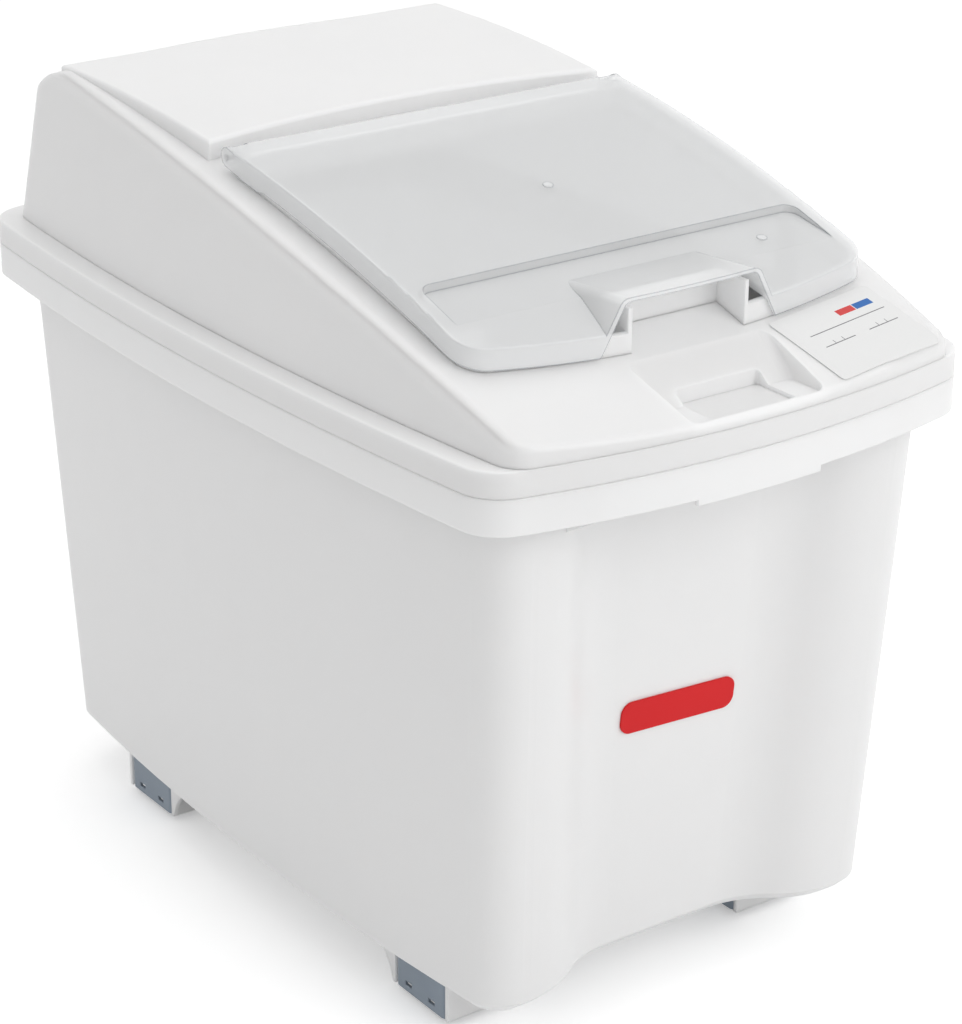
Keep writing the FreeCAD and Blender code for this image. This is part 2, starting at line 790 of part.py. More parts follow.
def make_well_rib(name, side, along, way):
    """A curved rib from the well's inner leg up to the underside of the tub."""
    inward = 1 if along < 0 else -1
    foot = along + inward * (size("cup_half_size") + size("well_clearance"))
    length = size("well_wall") + size("well_rib_length")
    low, high = size("well_bottom"), size("base_bottom") + size("floor_thickness") / 2
    tip = flat(foot + inward * length, size("base_bottom"))
    along_share, up_share = RIB_BEND_SHARES
    bend = flat(foot + inward * length * along_share, low + (size("base_bottom") - low) * up_share)
    start = flat(foot + inward * size("well_wall"), low)
    back = foot + inward * size("well_wall") / 2
    edges = [Part.Arc(start, bend, tip)]
    corners = [tip, flat(tip.x, high), flat(back, high), flat(back, low), start]
    edges += [Part.LineSegment(a, b) for a, b in zip(corners, corners[1:])]
    body = new_body("well_rib_" + name)
    place = "%f + %d * (sizes.cup_half_size - sizes.well_wall / 2)" % (side, way)
    pad(body, sketch(body, "YZ_Plane", edges, place), cell("well_wall"), symmetric=True)
    return body


def make_tub():
    """The tapered tub with its rim, hand channel and wheel wells."""
    inner = size("wall_thickness")
    collar = "%s + sizes.overrun" % RIM_HEIGHT
    outside = loft("tub_outside", [
        (wall_low(size("base_inset")), cell("base_bottom")),
        (wall_low(), cell("wall_low_height")),
        (wall_top(), cell("rim_low_height")),
    ])
    pad(outside, sketch(outside, "XY_Plane", wall_top(), cell("rim_low_height")), RIM_HEIGHT)
    inside = loft("tub_inside", [
        (wall_low(size("base_inset") + inner), "sizes.base_bottom + sizes.floor_thickness"),
        (wall_low(inner), cell("wall_low_height")),
        (wall_top(inner), cell("rim_low_height")),
    ])
    pad(inside, sketch(inside, "XY_Plane", wall_top(inner), cell("rim_low_height")), collar)
    band = rim_ring("rim_band", "rim_band_thickness", cell("rim_low_height"), cell("rim_top_height"))
    web = prism("rim_web", rim_outline(size("rim_band_thickness") / 2) + wall_top(inner / 2),
                "sizes.rim_top_height - sizes.rim_web_thickness", cell("rim_top_height"))
    gussets = [make_gusset("gusset_right", 1), make_gusset("gusset_left", -1)]
    walls = fuse("tub_walls", [outside, band, web, make_grip_lip()] + gussets)
    hollow = cut("tub_hollow", walls, inside)
    added, taken = [], []
    for name, side, along in CASTERS:
        more, less = make_well_pieces(name, side, along)
        added += more
        taken += less
    raised = fuse("tub_raised", [hollow] + added)
    rooms = fuse("well_rooms", taken)
    sub_part("tub", cut("tub", raised, rooms))


# Lid.
def make_hood(name, inset, base):
    """The hood under the shoulder's curve: the outside, or the room inside it."""
    top = "sizes.flange_top_height + sizes.hood_loft_height"
    walls = loft(name + "_walls", [(hood_outline(inset), base), (hood_outline(inset, 1), top)])
    return common(name, walls, slice_across(name + "_below", below_shoulder(-inset), WIDE))


def make_rear_round(name, lift):
    """What lies outside the large round at the rear of the hood, turned with the rear wall's bow."""
    centre, radius = shoulder_circle()
    start = flat(size("rear_round_place"), shoulder_height_at(size("rear_round_place")))
    up = unit(start - centre)
    middle = start - up * size("rear_round")
    bend = arc_about(middle, size("rear_round") + lift, up, flat(1, 0))
    rear = size("rim_half_length") + size("overrun")
    roof = size("crown_height") + size("rear_round")
    corners = [bend.EndPoint, flat(rear, bend.EndPoint.y), flat(rear, roof), flat(bend.StartPoint.x, roof),
               bend.StartPoint]
    edges = [bend] + [Part.LineSegment(a, b) for a, b in zip(corners, corners[1:])]
    wire = doc.addObject("Sketcher::SketchObject", name + "_sketch")
    wire.Placement = FreeCAD.Placement(Vector(0, 0, 0), FreeCAD.Rotation(Vector(1, 1, 1), 120))
    for edge in edges:
        wire.addGeometry(edge, False)
    item = doc.addObject("Part::Revolution", name)
    item.Source = wire
    item.Axis = Vector(0, 0, 1)
    bow = bow_radius("rim_half_width", "rim_end_bow")
    bind(item, "Base.y", "sizes.rim_half_length - sizes.hood_rear_inset - %f" % bow)
    item.Angle = 90
    item.Symmetric = True
    item.Solid = True
    return item


def on_crown(edge):
    """Whether an edge lies on the top curve."""
    point = middle_of(edge)
    return abs(point.z - crown_height_at(point.y)) < size("running_clearance")


def shoulder_radii(edge, grow):
    """A large radius along the hood's sides that runs out to a small one along the apron."""
    front = -size("rim_half_length") + size("hood_corner_radius")
    ends = [edge.valueAt(edge.FirstParameter), edge.valueAt(edge.LastParameter)]
    return [size("apron_round" if end.y < front else "shoulder_round") + grow for end in ends]


def panel_outline(inset):
    """The rear panel in plan, with its bowed front edge."""
    half, rear = size("door_half_width") - inset, size("panel_rear_place") - inset
    front = size("panel_front_place") + inset
    radius = bow_radius("door_half_width", "panel_front_bow") + inset
    low = front - radius + math.sqrt(radius ** 2 - half ** 2)
    edges = [Part.Arc(flat(half, low), flat(0, front), flat(-half, low))]
    corners = [flat(-half, low), flat(-half, rear), flat(half, rear), flat(half, low)]
    return edges + [Part.LineSegment(a, b) for a, b in zip(corners, corners[1:])]


def make_panel(name, inset):
    """The raised rear panel: the outside, or the room inside it."""
    upper = size("panel_drop") + inset
    lower = upper + 2 * size("hinge_lobe_drop")
    upright = prism(name + "_walls", panel_outline(inset), cell("flange_top_height"),
                    "sizes.crown_height + sizes.overrun")
    sheet = crown_band(size("rim_half_length"), 0, upper, lower)
    return common(name, upright, slice_across(name + "_sheet", sheet, WIDE))


def on_panel(edge):
    """Whether an edge lies on the rear panel's top."""
    point = middle_of(edge)
    return abs(point.z - crown_height_at(point.y, size("panel_drop"))) < size("running_clearance")


def curb_rear():
    """Where the curb of the opening ends behind the door's sheet."""
    return size("hinge_place") - size("curb_rear_gap")


def make_curb():
    """The curb round the opening, just inside the door's skirt, still solid."""
    inset = size("door_thickness") + size("door_clearance")
    low = "sizes.shoulder_front_height - sizes.overrun"
    upright = prism("curb_walls", door_outline(inset, curb_rear()), low, "sizes.crown_height + sizes.overrun")
    rear, front = curb_rear() + size("overrun"), -size("door_front_place") - size("overrun")
    sheet = crown_band(rear, front, inset, inset + 2 * size("hinge_lobe_drop"))
    return common("curb", upright, slice_across("curb_sheet", sheet, WIDE))


def make_opening():
    """The way into the bin through the lid."""
    inset = size("door_thickness") + size("door_clearance") + size("curb_thickness")
    return prism("opening", door_outline(inset, curb_rear() - size("curb_thickness")),
                 cell("rim_low_height"), "sizes.crown_height + sizes.overrun")


def bay_box(name, inset, front):
    """A block under the door's finger hood, drawn in by the bay's wall or not."""
    half = "(sizes.bay_half_width - %s)" % inset
    top = "%f - sizes.pull_thickness - sizes.bay_top_clearance" % pull_height()
    return box(name, ("-" + half, "-(%s)" % front, cell("shoulder_front_height")),
               ("2 * " + half, "%s - sizes.bay_rear_place - %s" % (front, inset),
                "%s - sizes.shoulder_front_height" % top))


def make_bay_block(name):
    """The finger bay's block, from the curb's front face back."""
    inset = size("door_thickness") + size("door_clearance")
    plan = prism(name + "_plan", door_outline(inset, curb_rear()), cell("shoulder_front_height"),
                 cell("crown_height"))
    return common(name, bay_box(name + "_outside", "0", cell("door_front_place")), plan)


def make_bay_floor():
    """The tongue of the hood that runs on below the finger bay, as thick as the hood."""
    under = slice_across("bay_tongue_under", below_shoulder(-size("lid_thickness")), WIDE)
    below = slice_across("bay_tongue_below", below_shoulder(0), WIDE)
    return cut("bay_tongue", common("bay_tongue_block", make_bay_block("bay_tongue_plan"), below), under)


def make_bay_room():
    """The room of the finger bay, open to the front, down to the shoulder's curve."""
    inside = bay_box("bay_inside", cell("bay_wall"), "(sizes.door_front_place + sizes.overrun)")
    return cut("bay_room", inside, slice_across("bay_floor", below_shoulder(0), WIDE))


def make_cheek(name, way):
    """A post behind the curb that holds one hinge pin, with a foot that runs into the curb."""
    centre, radius = hinge_centre(), size("hinge_cheek_radius")
    low = shoulder_height_at(centre.x) - size("lid_thickness") / 2
    behind, ahead = flat(1, 0), flat(-1, 0)
    toe = curb_rear() - size("curb_thickness") / 2
    corners = [centre + ahead * radius, flat(toe, (low + centre.y) / 2), flat(toe, low),
               flat(centre.x + radius, low), centre + behind * radius]
    edges = [arc_about(centre, radius, behind, ahead, flat(0, 1))]
    edges += [Part.LineSegment(a, b) for a, b in zip(corners, corners[1:])]
    body = new_body(name)
    place = ("%d * (sizes.door_half_width - sizes.hinge_boss_width - sizes.hinge_side_clearance"
             " - sizes.hinge_cheek_width / 2)" % way)
    pad(body, sketch(body, "YZ_Plane", edges, place), cell("hinge_cheek_width"), symmetric=True)
    return body


def pin_bar(name, way, radius):
    """A round bar on the hinge's axis, through one cheek and one ear."""
    reach = size("hinge_cheek_width") + size("hinge_side_clearance") + size("hinge_boss_width")
    outer = size("door_half_width") - size("hinge_side_clearance")
    start = outer - reach + size("hinge_side_clearance") if way > 0 else -outer
    length = "sizes.hinge_cheek_width + sizes.hinge_boss_width"
    return cylinder_along_x(name, radius, start, length, hinge_centre())


def recess_section(height, floor, grow):
    """The finger recess in plan at a height, wider the higher it lies, grown by its skin."""
    share = (height - floor) / (shoulder_height_at(-size("recess_rear_place")) - floor)
    half = size("recess_half_width") - size("recess_side_slope") * (1 - share) + grow
    rear = -size("recess_rear_place") - size("recess_back_slope") * (1 - share) + grow
    front = rim_front_at(0, size("hood_front_inset") + size("recess_front_wall")) - grow
    return rounded_box(half, (rear - front) / 2, size("recess_corner_radius"), flat(0, (rear + front) / 2))


def make_recess(grow, name):
    """The finger recess in the apron: the room, or the skin round it."""
    level = size("flange_top_height") + size("recess_floor_rise")
    low = size("flange_top_height") if grow else level
    high = shoulder_height_at(-size("recess_rear_place")) + size("recess_floor_rise")
    return loft(name, [(recess_section(low, level, grow), "%f" % low),
                       (recess_section(high, level, grow), "%f" % high)])


def make_pocket(grow, name):
    """The notch in the floor and the ramp of the finger recess: the room, or the skin round it."""
    front = rim_front_at(0, size("hood_front_inset") + 2 * size("recess_front_wall")) - grow
    rear = -size("pocket_rear_place") + grow
    outline = rounded_box(size("pocket_half_width") + grow, (rear - front) / 2, size("pocket_depth") + grow,
                          flat(0, (rear + front) / 2))
    low = "sizes.flange_top_height + sizes.recess_floor_rise - sizes.pocket_depth"
    high = "%f" % shoulder_height_at(-size("recess_rear_place"))
    return prism(name, outline, cell("flange_top_height") if grow else low, high)


def make_lid_rib(name, way):
    """A low upright rib inside one side wall of the hood."""
    inner = ("sizes.rim_half_width - sizes.hood_side_inset - sizes.hood_draft_inset - sizes.lid_thickness"
             " - sizes.rib_depth")
    width = "sizes.hood_draft_inset + sizes.lid_thickness + sizes.rib_depth"
    start = inner if way > 0 else "-(%s) - (%s)" % (inner, width)
    return box(name, (start, "-sizes.rib_place", "sizes.flange_top_height - sizes.lid_thickness / 2"),
               (width, cell("rib_thickness"), cell("hood_loft_height")))


def make_rounded_hood(name, grow):
    """The outside of the hood with its rounds, as it is or grown all round."""
    hood = make_hood(name, -grow, cell("flange_top_height"))

    def radii(edge):
        point = middle_of(edge)
        if abs(point.z - shoulder_height_at(point.y, grow)) > size("running_clearance"):
            return None
        return shoulder_radii(edge, grow)

    rounded = round_edges(name + "_round", hood, radii)
    return cut(name + "_whole", rounded, make_rear_round(name + "_rear_round", grow))


def make_lid_rim():
    """The lid's flange, with the skirt that stands on the tub's rim and the lip that goes inside the tub."""
    lip_outer = size("wall_thickness") + size("lip_clearance")
    lip_inner = lip_outer + size("lip_thickness")
    top = cell("flange_top_height")
    skirt = rim_ring("lid_skirt", "lid_thickness", cell("rim_top_height"), top)
    web = prism("lid_web", rim_outline(size("lid_thickness") / 2) + wall_top(lip_inner),
                "sizes.flange_top_height - sizes.lid_thickness", top)
    lip = prism("lid_lip", wall_top(lip_outer) + wall_top(lip_inner),
                "sizes.rim_top_height - sizes.lip_drop", top)
    sub_part("lid_rim", fuse("lid_rim", [skirt, web, lip]))


def make_lid():
    """The hood on its flange, with the raised panel, the opening and the finger recess."""
    thickness = size("lid_thickness")
    rounded = make_rounded_hood("hood", 0)
    panel = round_edges("panel_round", make_panel("panel", 0), same_radius("panel_edge_round", on_panel))
    solid = fuse("lid_solid", [rounded, panel])
    rooms = fuse("lid_rooms", [
        cut("hood_room_rear", make_hood("hood_room", thickness, cell("flange_top_height")),
            make_rear_round("room_rear_round", -thickness)),
        make_panel("panel_room", thickness),
        make_opening(),
    ])
    shell = cut("lid_shell", solid, rooms)
    ribs = fuse("lid_ribs", [make_lid_rib("lid_rib_right", 1), make_lid_rib("lid_rib_left", -1),
                             make_recess(thickness, "recess_skin"), make_pocket(thickness, "pocket_skin")])
    inside = common("lid_inside", rounded, ribs)
    dressed = fuse("lid_dressed", [shell, inside, make_bay_floor()])
    cuts = fuse("lid_cuts", [make_recess(0, "recess"), make_pocket(0, "pocket")])
    sub_part("lid", cut("lid", dressed, cuts))


def make_door_frame():
    """The frame that stands on the hood round the opening: curb, finger bay and the hinge's cheeks."""
    ring = cut("frame_ring", make_curb(), make_opening())
    cheeks = [make_cheek("cheek_right", 1), make_cheek("cheek_left", -1)]
    whole = fuse("frame_whole", [ring, make_bay_block("bay")] + cheeks)
    pin_holes = [pin_bar("pin_hole_right", 1, cell("hinge_pin_radius")),
                 pin_bar("pin_hole_left", -1, cell("hinge_pin_radius"))]
    under = slice_across("frame_under", below_shoulder(0), WIDE)
    cuts = fuse("frame_cuts", [under, make_bay_room()] + pin_holes)
    sub_part("door_frame", cut("door_frame", whole, cuts))


def make_hinge_pins():
    """The two pins that carry the door."""
    for way, side in ((1, "right"), (-1, "left")):
        sub_part("hinge_pin_" + side, pin_bar("hinge_pin_" + side, way, cell("hinge_pin_radius")))


# Door.
def make_sheet(name, inset, rear, lower):
    """The door's hull between the top curve and a drop below it: the outside, or the room inside."""
    outline = door_outline(inset, rear + size("overrun"))
    upright = prism(name + "_walls", outline, cell("shoulder_front_height"),
                    "sizes.crown_height + sizes.overrun")
    front = -size("door_front_place") - size("overrun")
    sheet = crown_band(rear, front, inset, lower)
    return common(name, upright, slice_across(name + "_sheet", sheet, WIDE))


def make_door_step(name, grow):
    """The stepped front panel of the door: its skin below the sheet, or the room above it."""
    rear, front = -size("step_rear_place") + grow, -size("step_front_place")
    deep = size("step_depth") + grow
    top = size("crown_height") if not grow else crown_height_at(rear, size("door_thickness") / 2)
    corners = [flat(rear, top), flat(rear, crown_height_at(rear, deep)),
               flat(front, crown_height_at(front, grow))]
    if grow:
        corners.append(flat(front, crown_height_at(front, grow / 2)))
    half, radius = size("step_half_width") + grow, size("step_corner_radius") + grow
    reach = (rear - front) / 2 + radius
    plan = prism(name + "_plan", rounded_box(half, reach, radius, flat(0, rear - reach)),
                 cell("flange_top_height"), "sizes.crown_height + sizes.overrun")
    return common(name, slice_across(name + "_side", polygon(corners), WIDE), plan)


def step_height_at(place):
    """Height of the stepped panel at a place along Y."""
    rear, front = -size("step_rear_place"), -size("step_front_place")
    share = (place - rear) / (front - rear)
    return crown_height_at(rear, size("step_depth")) * (1 - share) + crown_height_at(front) * share


def make_pull(name, inset, front, low):
    """The finger hood at the door's front edge, before its front is trimmed: the outside, or the room."""
    body = new_body(name)
    rear = -size("pull_rear_place")
    slope = (pull_height() - step_height_at(rear)) / (rear + size("door_front_place"))
    root = step_height_at(rear) - inset + slope * 2 * inset
    rear -= 2 * inset
    lean = size("pull_base_half_width") - size("pull_top_half_width")
    spread_share = lean / (pull_height() - crown_height_at(-size("door_front_place")))
    half, bend = size("pull_top_half_width") - inset, size("pull_edge_round") - inset
    sections = []
    for place, top in ((front, root + slope * (rear - front)), (rear, root)):
        base = half + spread_share * (top - low)
        corners = [(flat(half, top), bend), (flat(-half, top), bend), (flat(-base, low), 0),
                   (flat(base, low), 0)]
        sections.append(sketch(body, "XZ_Plane", rounded_polygon(corners), "%f" % -place))
    item = body.newObject("PartDesign::AdditiveLoft", name + "_loft")
    item.Profile = sections[0]
    item.Sections = sections[1:]
    item.Ruled = True
    return body


def tangent_foot(centre, radius, point):
    """Where a line from a point in front touches the lower side of a circle."""
    gap = point - centre
    turn = math.acos(radius / gap.Length)
    towards = math.atan2(gap.y, gap.x)
    return centre + flat(math.cos(towards + turn), math.sin(towards + turn)) * radius


def make_ear_lobe(name, way):
    """The deeper rear end of one side skirt, round the hinge."""
    centre, drop = hinge_centre(), size("hinge_drop")
    lobe, low = -size("hinge_lobe_place"), size("hinge_lobe_drop")
    end = lobe - size("hinge_lobe_radius")
    heel = lobe + low
    lowest = tangent_foot(centre, drop, flat(heel, crown_height_at(heel, low)))
    corners = [lowest, flat(heel, crown_height_at(heel, low)), flat(lobe, crown_height_at(lobe, low)),
               flat(end, crown_height_at(end, size("door_skirt_depth"))),
               flat(end, crown_height_at(end, drop)), centre + hinge_radial() * drop]
    edges = [arc_about(centre, drop, hinge_radial(), lowest - centre, flat(1, 0))]
    edges += [Part.LineSegment(a, b) for a, b in zip(corners, corners[1:])]
    body = new_body(name)
    place = "%d * (sizes.door_half_width - sizes.door_thickness / 2)" % way
    pad(body, sketch(body, "YZ_Plane", edges, place), cell("door_thickness"), symmetric=True)
    return body


def make_ear_boss(name, way):
    """The round boss in one ear that turns on the pin."""
    reach = size("door_half_width") - size("door_thickness") / 2
    start = size("door_half_width") - size("hinge_boss_width") if way > 0 else -reach
    length = "sizes.hinge_boss_width - sizes.door_thickness / 2"
    return cylinder_along_x(name, cell("hinge_boss_radius"), start, length, hinge_centre())


ROLL_END_SHARE = 0.5


def make_roll():
    """The door's rear edge, rolled down round the hinge's axis between the two cheeks."""
    centre, radial = hinge_centre(), hinge_radial()
    outer, inner = size("hinge_drop"), size("hinge_drop") - size("door_thickness")
    behind = flat(radial.y, -radial.x)
    end = unit(-radial * ROLL_END_SHARE + behind)
    edges = [arc_about(centre, outer, radial, end, behind), arc_about(centre, inner, radial, end, behind),
             Part.LineSegment(centre + radial * inner, centre + radial * outer),
             Part.LineSegment(centre + end * inner, centre + end * outer)]
    width = ("2 * (sizes.door_half_width - sizes.hinge_boss_width - sizes.hinge_cheek_width"
             " - 2 * sizes.hinge_side_clearance)")
    return slice_across("door_roll", edges, width)


def make_door():
    """The clear door: skirted sheet, stepped panel, finger hood, rolled rear edge and ears."""
    thickness, rear = size("door_thickness"), size("hinge_place")
    hull = make_sheet("door_hull", 0, rear, size("door_skirt_depth"))

    def rim_edge(edge):
        return on_crown(edge) and middle_of(edge).y < rear - size("door_edge_round")

    rounded = round_edges("door_round", hull, same_radius("door_edge_round", rim_edge))
    deep = size("door_skirt_depth") + size("overrun")
    room = make_sheet("door_room", thickness, rear + size("overrun"), deep)
    sheet = cut("door_sheet", rounded, room)
    skin = make_door_step("step_skin", thickness)
    stepped = cut("door_stepped", fuse("door_with_step", [sheet, skin]),
                  make_door_step("step_room", 0))
    front = -size("door_front_place") - size("overrun")
    pull = make_pull("pull", 0, front, crown_height_at(-size("door_front_place"), thickness))
    plan = prism("pull_plan", door_outline(0, rear), cell("shoulder_front_height"), cell("crown_height"))
    above = slice_across("pull_above", crown_band(rear, front, -2 * size("hinge_lobe_drop"), thickness), WIDE)
    trimmed = common("pull_trimmed", common("pull_in_plan", pull, plan), above)
    pull_room = make_pull("pull_room", size("pull_thickness"), front - size("overrun"),
                          size("shoulder_front_height"))
    ears = [make_ear_lobe("lobe_right", 1), make_ear_lobe("lobe_left", -1),
            make_ear_boss("boss_right", 1), make_ear_boss("boss_left", -1)]
    dressed = fuse("door_dressed", [stepped, trimmed, make_roll()] + ears)
    bore = "sizes.hinge_pin_radius + sizes.hinge_pin_clearance"
    cuts = fuse("door_cuts", [pull_room, pin_bar("bore_right", 1, bore), pin_bar("bore_left", -1, bore)])
    sub_part("door", cut("door", dressed, cuts, refine=False))


# Label and badge.
def make_label():
    """The write-on label, which follows the lid's apron and its rounded front edge."""
    upright = prism("label_walls", rounded_box(size("label_width") / 2, size("label_length") / 2,
                                               size("label_corner_radius")),
                    cell("flange_top_height"), cell("crown_height"))
    turn = FreeCAD.Rotation(Vector(0, 0, 1), size("label_turn"))
    place = Vector(size("label_place_side"), -size("label_place_front"), 0)
    upright.Placement = FreeCAD.Placement(place, turn)
    seat = make_rounded_hood("label_seat", size("label_gap"))
    over = make_rounded_hood("label_over", size("label_gap") + size("label_thickness"))
    sub_part("label", cut("label", common("label_stack", upright, over), seat))


def make_badge():
    """The plain badge in the hand channel."""
    body = new_body("front_badge")
    edges = rounded_box(size("badge_width") / 2, size("badge_height") / 2, size("badge_corner_radius"))
    pad(body, sketch(body, "XZ_Plane", edges), cell("badge_thickness"))
    lean = size("wall_top_front") - size("wall_low_front")
    rise = size("rim_low_height") - size("wall_low_height")
    share = (size("badge_place") - size("wall_low_height")) / rise
    place = -(size("wall_low_front") - size("channel_depth") + lean * share)
    turn = FreeCAD.Rotation(Vector(1, 0, 0), math.degrees(math.atan2(lean, rise)))
    turn = turn.multiply(FreeCAD.Rotation(Vector(0, 1, 0), size("badge_tilt")))
    body.Placement = FreeCAD.Placement(Vector(0, place, size("badge_place")), turn)
    sub_part("front_badge", body)


# Casters, each drawn about its own swivel axis.
def make_cup(name, place):
    """The grey cup of one caster, with two clip windows in each cheek."""
    half, wall, corner = size("cup_half_size"), size("cup_wall"), size("cup_corner_radius")
    outside = prism("cup_out_" + name, rounded_box(half, half, corner), cell("well_bottom"), CUP_TOP)
    room = prism("cup_room_" + name, rounded_box(half - wall, half - wall, corner - wall),
                 "sizes.well_bottom - sizes.overrun", CUP_CEILING)
    hole = doc.addObject("Part::Cylinder", "cup_hole_" + name)
    bind(hole, "Radius", cell("kingpin_radius"))
    bind(hole, "Height", "%s + sizes.overrun" % CUP_TOP)
    windows = []
    for way in (1, -1):
        windows.append(box("window_" + name,
                           ("-sizes.cup_half_size - sizes.overrun",
                            "%d * sizes.clip_window_spacing / 2 - sizes.clip_window_length / 2" % way,
                            "sizes.clip_window_place - sizes.clip_window_height / 2"),
                           ("2 * (sizes.cup_half_size + sizes.overrun)", cell("clip_window_length"),
                            cell("clip_window_height"))))
    rooms = fuse("cup_rooms_" + name, [room, hole] + windows)
    sub_part("caster_cup_" + name, cut("caster_cup_" + name, outside, rooms), place)


def upright_disc(name, radius, low, high, bore=None):
    """A round piece on the swivel axis between two heights, given as expressions."""
    disc = doc.addObject("Part::Cylinder", name)
    bind(disc, "Radius", radius)
    bind(disc, "Height", "(%s) - (%s)" % (high, low))
    bind(disc, "Placement.Base.z", low)
    if bore is None:
        return disc
    hole = doc.addObject("Part::Cylinder", name + "_bore")
    bind(hole, "Radius", bore)
    bind(hole, "Height", "(%s) - (%s) + 2 * sizes.overrun" % (high, low))
    bind(hole, "Placement.Base.z", "(%s) - sizes.overrun" % low)
    return cut(name + "_ring", disc, hole)


def make_kingpin(name, place):
    """The riveted pin that the fork swivels on."""
    head = cell("kingpin_head_radius")
    low = "(%s - sizes.kingpin_head_height)" % FORK_LOW
    top = "(%s + sizes.kingpin_head_height)" % CUP_TOP
    pieces = [upright_disc("kingpin_shaft_" + name, cell("kingpin_radius"), low, top),
              upright_disc("kingpin_foot_" + name, head, low, FORK_LOW),
              upright_disc("kingpin_head_" + name, head, CUP_TOP, top)]
    sub_part("kingpin_" + name, fuse("kingpin_" + name, pieces), place)


def make_washer(name, place):
    """The thrust washer between the fork and the cup's ceiling."""
    low = "(%s + sizes.swivel_play)" % FORK_TOP
    high = "(%s - sizes.swivel_play)" % CUP_CEILING
    ring = upright_disc("washer_" + name, cell("swivel_washer_radius"), low, high,
                        "sizes.kingpin_radius + sizes.running_clearance")
    sub_part("swivel_washer_" + name, ring, place)


def make_fork(name, place):
    """The fork: a plate round the kingpin and two arms that hold the axle behind it."""
    trail, half = size("caster_trail"), size("fork_arm_width") / 2
    axle = flat(trail, size("tyre_radius"))
    inner = size("wheel_width") / 2 + size("fork_side_clearance")
    outer = inner + size("fork_arm_thickness")
    front, rear = -size("fork_plate_radius"), trail + half
    plate = prism("fork_plate_" + name,
                  rounded_box(outer, (rear - front) / 2, half, flat(0, (rear + front) / 2)),
                  FORK_LOW, FORK_TOP)
    body_height = 2 * size("tyre_radius") + size("fork_wheel_gap") + size("fork_plate_thickness")
    corners = [axle + flat(half, 0), flat(trail + half, body_height), flat(trail - half, body_height),
               axle - flat(half, 0)]
    edges = [arc_about(axle, half, flat(-1, 0), flat(1, 0), flat(0, -1))]
    edges += [Part.LineSegment(a, b) for a, b in zip(corners, corners[1:])]
    arms = []
    for way in (1, -1):
        body = new_body("fork_arm_" + name)
        offset = ("%d * (sizes.wheel_width / 2 + sizes.fork_side_clearance"
                  " + sizes.fork_arm_thickness / 2)" % way)
        pad(body, sketch(body, "YZ_Plane", edges, offset), cell("fork_arm_thickness"), symmetric=True)
        arms.append(body)
    swivel = upright_disc("fork_bore_" + name, "sizes.kingpin_radius + sizes.running_clearance",
                          "(%s - sizes.overrun)" % FORK_LOW, "(%s + sizes.overrun)" % FORK_TOP)
    bar = cylinder_along_x("fork_axle_hole_" + name, cell("axle_radius"), -outer - size("overrun"),
                           "2 * (%f + sizes.overrun)" % outer, axle)
    fork = cut("caster_fork_" + name, fuse("fork_solid_" + name, [plate] + arms),
               fuse("fork_holes_" + name, [swivel, bar]))
    sub_part("caster_fork_" + name, fork, place)


def make_axle(name, place):
    """The axle with a riveted head at each end."""
    reach = size("wheel_width") / 2 + size("fork_side_clearance") + size("fork_arm_thickness")
    end = reach + size("axle_head_height")
    shaft, head = size("axle_radius"), size("axle_head_radius")
    outline = [flat(-end, 0), flat(-end, head), flat(-reach, head), flat(-reach, shaft), flat(reach, shaft),
               flat(reach, head), flat(end, head), flat(end, 0)]
    body = turned_body("axle_" + name, polygon(outline))
    sub_part("axle_" + name, body, place + Vector(0, size("caster_trail"), size("tyre_radius")))


def make_wheel(name, place):
    """The moulded wheel with a dished web, and its tyre."""
    half, dish = size("wheel_width") / 2, size("wheel_dish_depth")
    seat = size("tyre_radius") - size("tyre_thickness")
    bore = size("axle_radius") + size("running_clearance")
    hub, lip = size("wheel_hub_radius"), seat - dish
    outline = [flat(half, bore), flat(half, hub), flat(half - dish, hub), flat(half - dish, lip),
               flat(half, lip),
               flat(half, seat)]
    outline += [flat(-point.x, point.y) for point in reversed(outline)]
    centre = place + Vector(0, size("caster_trail"), size("tyre_radius"))
    sub_part("wheel_" + name, turned_body("wheel_" + name, polygon(outline)), centre)
    radius, bend = size("tyre_radius"), size("tyre_round")
    right, out = flat(1, 0), flat(0, 1)
    corner = flat(half - bend, radius - bend)
    far = flat(bend - half, radius - bend)
    tread = [Part.LineSegment(flat(-half, seat), flat(half, seat)),
             Part.LineSegment(flat(half, seat), corner + right * bend),
             arc_about(corner, bend, right, out),
             Part.LineSegment(corner + out * bend, far + out * bend),
             arc_about(far, bend, out, -right),
             Part.LineSegment(far - right * bend, flat(-half, seat))]
    sub_part("tyre_" + name, turned_body("tyre_" + name, tread), centre)


def make_casters():
    """All four casters."""
    for name, side, along in CASTERS:
        place = Vector(side, along, 0)
        make_cup(name, place)
        make_kingpin(name, place)
        make_washer(name, place)
        make_fork(name, place)
        make_axle(name, place)
        make_wheel(name, place)


def write_parts():
    """Check every object and write each sub-part to its own file."""
    doc.recompute()
    failed = [item.Name for item in doc.Objects if {"Invalid", "Error"} & set(item.State)]
    if failed:
        raise RuntimeError("failed objects: " + ", ".join(failed))
    for item in SUB_PARTS:
        if item.Shape.isNull() or not item.Shape.isValid():
            raise RuntimeError("bad shape: " + item.Label)
    os.makedirs("parts", exist_ok=True)
    for item in SUB_PARTS:
        item.Shape.exportStep("parts/%s.step" % item.Label)
        print(item.Label, len(item.Shape.Solids), round(item.Shape.Volume))


make_tub()
make_lid_rim()
make_lid()
make_door_frame()
make_hinge_pins()
make_door()
make_label()
make_badge()
make_casters()
write_parts()
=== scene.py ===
import json
import math

import bmesh
import bpy
from mathutils import Matrix, Vector


